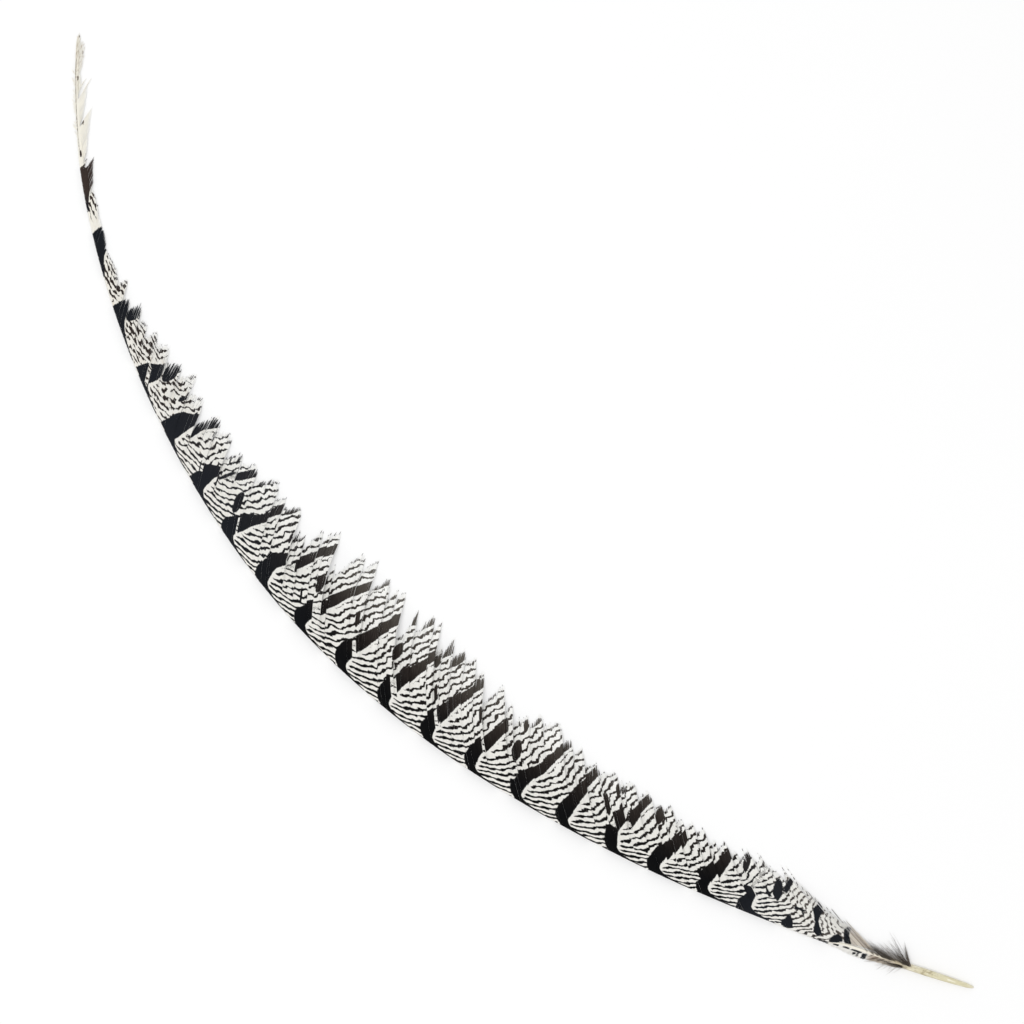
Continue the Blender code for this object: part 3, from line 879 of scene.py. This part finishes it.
def wide_vane_barbs(name, first, last, material):
    """The wide vane's barbs rooted between two distances along the shaft."""
    roots = np.arange(first, last, BARB_SPACING)
    count = len(roots)
    random = np.random.default_rng(int(first))
    roots = roots + random.uniform(-0.12, 0.12, count)
    lock = lock_of(roots)
    full = lock_reach(roots, lock)
    # Lengths: ragged, some short, and some stray by the quill.
    upper = smooth_step(440, 520, roots)
    ragged = 0.018 + 0.04 * upper + 0.045 * (1 - smooth_step(90, 115, roots))
    length = 1 + ragged * random.standard_normal(count)
    length = length - (random.random(count) < 0.07) * random.uniform(0.04, 0.12, count)
    by_quill = 1 - smooth_step(58, 80, roots)
    clump = wave(roots, 1.3, int(first) + 2)
    length = length - (0.25 * random.random(count) + 0.14 * np.maximum(clump, 0)) * by_quill
    loose_ends = 0.22 * by_quill + 0.16 * (1 - smooth_step(100, 125, roots))
    stray = (random.random(count) < loose_ends) * random.uniform(0.1, 0.5, count)
    stray = stray * (0.22 + 0.78 * by_quill)
    start, root_height = vane_root(roots)
    tip = np.maximum(full * (np.minimum(length, 1.03) + stray), start + 0.9)
    longest = LOCK_REACHES[np.unique(lock)].max()
    rings = max(9, math.ceil(longest / RING_STEP))
    share = (np.linspace(0, 1, rings) ** RING_CROWDING)[None, :]
    out = start[:, None] + (tip - start)[:, None] * share
    lock_width = LOCK_ROOTS[lock + 1] - LOCK_ROOTS[lock]
    inside = lock_share(roots, lock)
    point_share = np.where(LOCK_ROOTS[lock] >= TIP_EDGE[0][0], TIP_POINT, LOCK_POINT)
    point = LOCK_ROOTS[lock] + point_share * lock_width
    # Free ends draw to their lock's point, and sway.
    notch = LOCK_NOTCHES[lock][:, None]
    free = smooth_step(0.0, 1.0, (out - 0.8 * notch) / (0.4 * notch))
    pull = 0.12 * free * (point - roots)[:, None]
    bent = random.standard_normal(count)
    sway = (0.13 + 0.1 * upper) * bent
    splayed = 2.0 * np.maximum(bent - 0.5, 0) * smooth_step(60, 68, roots)
    splayed = splayed * (1 - smooth_step(85, 110, roots))
    sway = (sway - splayed)[:, None] * free
    ripple = 0.1 * wave(out, 9.0, int(first) + 1)
    root_line = roots[:, None] + pull + sway + ripple * smooth_step(2, 10, out)
    along = root_line + barb_run(root_line, out)
    reach = np.maximum(full, start + 0.9)[:, None]
    height = sheet_height(roots[:, None], out, reach)
    rise = np.minimum(1, np.maximum(out, 0) / 8)
    height = height + LOCK_TILT * (0.5 - inside)[:, None] * rise
    height = height + 0.04 * random.standard_normal(count)[:, None] * rise
    taper = 1 - 0.72 * smooth_step(0.93, 1.0, share) * np.ones((count, 1))
    loose = 1 - smooth_step(54, 68, roots)[:, None]
    half_width = BARB_SPACING * BARB_OVERLAP * taper * (1 - 0.08 * free) * (1 - 0.35 * loose)
    ridge = BARB_RIDGE * taper
    piece = strands(name, along, out, height - 0.05, half_width, ridge, material)

    stack_root = np.stack([root_line - half_width, root_line + half_width, root_line], axis=2)
    stack_out = np.repeat(out[:, :, None], 3, axis=2)
    jitter = 0.1 * random.standard_normal(count)[:, None, None]
    marks = markings(stack_root + jitter, stack_out, lock[:, None, None])
    give_vectors(piece, "marks", *marks)
    reach_share = stack_out / np.maximum(full, 1)[:, None, None]
    stack_along = stack_root + barb_run(stack_root, stack_out)
    give_vectors(piece, "barb", stack_root, stack_out, stack_along)
    shade = np.clip(0.5 + 0.35 * clump + 0.2 * random.standard_normal(count), 0, 1)
    brown = (1 - smooth_step(58, 74, stack_root)) * (1 - smooth_step(70, 77, stack_along))
    give_vectors(piece, "fringe", reach_share, shade[:, None, None], brown)
    return piece


def narrow_marks(along, out):
    """How deep a place on the narrow vane lies in its dark marks."""
    depth = np.full(along.shape, -5.0)
    for first, last, low, high in NARROW_MARKS:
        inside = np.minimum(within(along, first, last), within(out, low, high))
        depth = np.maximum(depth, inside)
    for middle, width, _, _ in BARS:
        first = middle - width / 2 - toe_length(middle)
        last = middle + (width / 2 if middle > SLANTED_BARS_FROM else 1)
        line = within(along, first, last)
        depth = np.where(along > BAR_FEET_FROM, np.maximum(depth, line), depth)
    return depth


def narrow_vane_barbs(material):
    """The other vane's short barbs, which lie over the shaft's side and hang down beside it."""
    random = np.random.default_rng(21)
    roots = np.arange(NARROW_SPAN[0], NARROW_SPAN[1], NARROW_SPACING)
    count = len(roots)
    roots = roots + random.uniform(-0.2, 0.2, count)
    share = np.linspace(0, 1, NARROW_RINGS)[None, :]
    radius = read_table(SHAFT_RADII, roots)[:, None]
    centre = read_table(CENTRE_OFFSET, roots)[:, None]
    middle = read_table(ARCH, roots)[:, None] + radius
    fringed = (random.random(count) < 0.3) * random.uniform(0, 2, count)
    fringed = fringed * smooth_step(700, 712, roots)
    edge = -(read_table(NARROW_EDGE, roots) * random.uniform(0.88, 1.04, count) + fringed)[:, None]
    start = np.radians(read_table(NARROW_START, roots))[:, None]
    around = radius + 0.12
    side = centre - around
    angle = start + (np.pi - start) * np.minimum(share / 0.5, 1)
    beyond = np.maximum(share - 0.5, 0) / 0.5
    out = centre + around * np.cos(angle) + (np.minimum(edge, side - 0.05) - side) * beyond
    height = middle + around * np.sin(angle) + (EDGE_HEIGHT - 0.05 - middle) * beyond ** 2
    run = 1.3 * (out[:, :1] - out) + 0.4 * (middle - np.minimum(height, middle))
    along = roots[:, None] + run + 0.15 * random.standard_normal(count)[:, None] * share
    taper = 1 - 0.6 * smooth_step(0.85, 1.0, share) * np.ones((count, 1))
    # A negative half width keeps the strands' fronts outside on this side.
    piece = strands("narrow_vane_barbs", along, out, height, -0.36 * taper, 0.1 * taper, material)
    stack_along = np.repeat(along[:, :, None], 3, axis=2)
    stack_out = np.repeat(out[:, :, None], 3, axis=2)
    depth = narrow_marks(stack_along, stack_out)
    give_vectors(piece, "marks", depth, 0.0, 0.0)
    give_vectors(piece, "barb", roots[:, None, None], -stack_out, stack_along)
    shade = random.random(count)[:, None, None]
    brown = 1.3 * (1 - smooth_step(56, 61, stack_along))
    give_vectors(piece, "fringe", 0.5 * share[:, :, None], shade, brown)
    return piece


def down_hairs(material):
    """The tuft of down at the foot of the vanes, on both sides of the shaft, in clumps."""
    random = np.random.default_rng(5)
    columns = []
    for group in DOWN_GROUPS:
        clumps, each, side, *spans, width, dark, pale = group
        first, usual, last, short, long, low, middle, high = spans
        count = clumps * each
        places = np.repeat(random.triangular(first, usual, last, clumps), each)
        places = places + random.uniform(-0.25, 0.25, count)
        lengths = np.repeat(random.uniform(short, long, clumps), each)
        lengths = lengths * random.uniform(0.7, 1.05, count)
        slopes = np.repeat(random.triangular(low, middle, high, clumps), each)
        slopes = slopes * random.uniform(0.95, 1.05, count)
        widths = width * random.uniform(0.6, 1.3, count)
        darks = np.repeat(dark + random.uniform(-0.5, 0.4, clumps), each)
        darks = np.clip(darks + random.uniform(-0.1, 0.1, count), 0, 1)
        pales = np.repeat(pale + random.uniform(-0.1, 0.2, clumps), each)
        pales = np.clip(pales + random.uniform(-0.1, 0.1, count), 0, 1)
        sides = np.full(count, side)
        columns.append(np.stack([sides, places, lengths, slopes, widths, darks, pales]))
    side, roots, length, slope, width, dark, pale = np.concatenate(columns, axis=1)[:, :, None]
    count = len(roots)
    share = np.linspace(0, 1, DOWN_RINGS)[None, :]
    radius = read_table(SHAFT_RADII, roots)
    centre = read_table(CENTRE_OFFSET, roots)
    start = centre + side * radius * np.maximum(random.uniform(0.1, 1.0, (count, 1)), pale * 1.1)
    bow = share ** random.uniform(0.8, 1.3, (count, 1))
    curl = 0.45 * random.standard_normal((count, 1)) * share * share
    out = start + side * (slope * length * bow + curl * (slope > 0.3))
    along = roots + length * share + curl
    top = 2 * radius * random.uniform(0.4, 1.05, (count, 1))
    height = top + (random.uniform(0.25, 1.8, (count, 1)) - top) * smooth_step(0, 1, share)
    over_shaft = radius + np.sqrt(np.maximum(radius ** 2 - (out - centre) ** 2, 0))
    near = np.abs(out - centre) < radius
    height = np.maximum(height, np.where(near, over_shaft + read_table(ARCH, along) + 0.12, 0.2))
    half_width = width * (1 - 0.8 * share) * side
    ridge = 0.12 * (1 - 0.7 * share) * np.ones((count, 1))
    piece = strands("down_hairs", along, out, height, half_width, ridge, material)
    stack_share = np.broadcast_to(share[:, :, None], (count, DOWN_RINGS, 3))
    give_vectors(piece, "hair", stack_share, dark[:, :, None], pale[:, :, None])
    return piece


def make_feather():
    barbs = barb_material()
    shaft = make_shaft(quill_material())
    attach(shaft, "root")
    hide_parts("shaft")
    parts = (
        ("wide_vane_by_quill", LOCK_ROOTS[0], 203),
        ("wide_vane_lower", 203, 319),
        ("wide_vane_middle", 319, 448.5),
        ("wide_vane_upper", 448.5, 567.5),
        ("wide_vane_tip", 567.5, WIDE_VANE_END),
    )
    for name, first, last in parts:
        vane = wide_vane_barbs(name, first, last, barbs)
        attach(vane, "root")
        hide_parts("wide_vane")
    narrow = narrow_vane_barbs(barbs)
    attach(narrow, "root")
    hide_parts("narrow_vane")
    down = down_hairs(down_material())
    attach(down, "root")
    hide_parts("down_tuft")


# ---------------------------------------------------------------- the studio

VIEW_CENTRE = (0.0050, -0.0598)
VIEW_WIDTH = 0.548
VIEW_TURN = -133.4
LENS = 100.0
SENSOR = 36.0
FLOOR_SIZE = 18.0
FLOOR_HEIGHT = -0.0002
LAMP_PLACE = (0.3, 0.5, 3.0)
LAMP_TURN = (-0.16, 0.1, 0)
LAMP_SIZE = 2.4
LAMP_POWER = 46.0
ROOM_LIGHT = 0.72


def make_studio():
    bpy.ops.object.select_all(action="DESELECT")
    bpy.ops.mesh.primitive_plane_add(size=FLOOR_SIZE, location=(0, 0, FLOOR_HEIGHT))
    floor = bpy.context.active_object
    floor.name = "floor"
    floor.data.materials.append(floor_material())

    bpy.ops.object.light_add(type="AREA", location=LAMP_PLACE)
    lamp = bpy.context.active_object
    lamp.name = "soft_box"
    lamp.data.shape = "DISK"
    lamp.data.size = LAMP_SIZE
    lamp.data.energy = LAMP_POWER
    lamp.rotation_euler = LAMP_TURN

    world = bpy.data.worlds.new("bright_room")
    world.use_nodes = True
    background = world.node_tree.nodes["Background"]
    background.inputs["Color"].default_value = (1, 1, 1, 1)
    background.inputs["Strength"].default_value = ROOM_LIGHT
    scene = bpy.context.scene
    scene.world = world

    height = VIEW_WIDTH * LENS / SENSOR
    turn = (0, 0, math.radians(VIEW_TURN))
    bpy.ops.object.camera_add(location=(*VIEW_CENTRE, height), rotation=turn)
    camera = bpy.context.active_object
    camera.name = "photo_camera"
    camera.data.lens = LENS
    camera.data.sensor_width = SENSOR
    camera.data.clip_end = 20
    scene.camera = camera
    scene.view_settings.view_transform = "Standard"


make_feather()
make_studio()
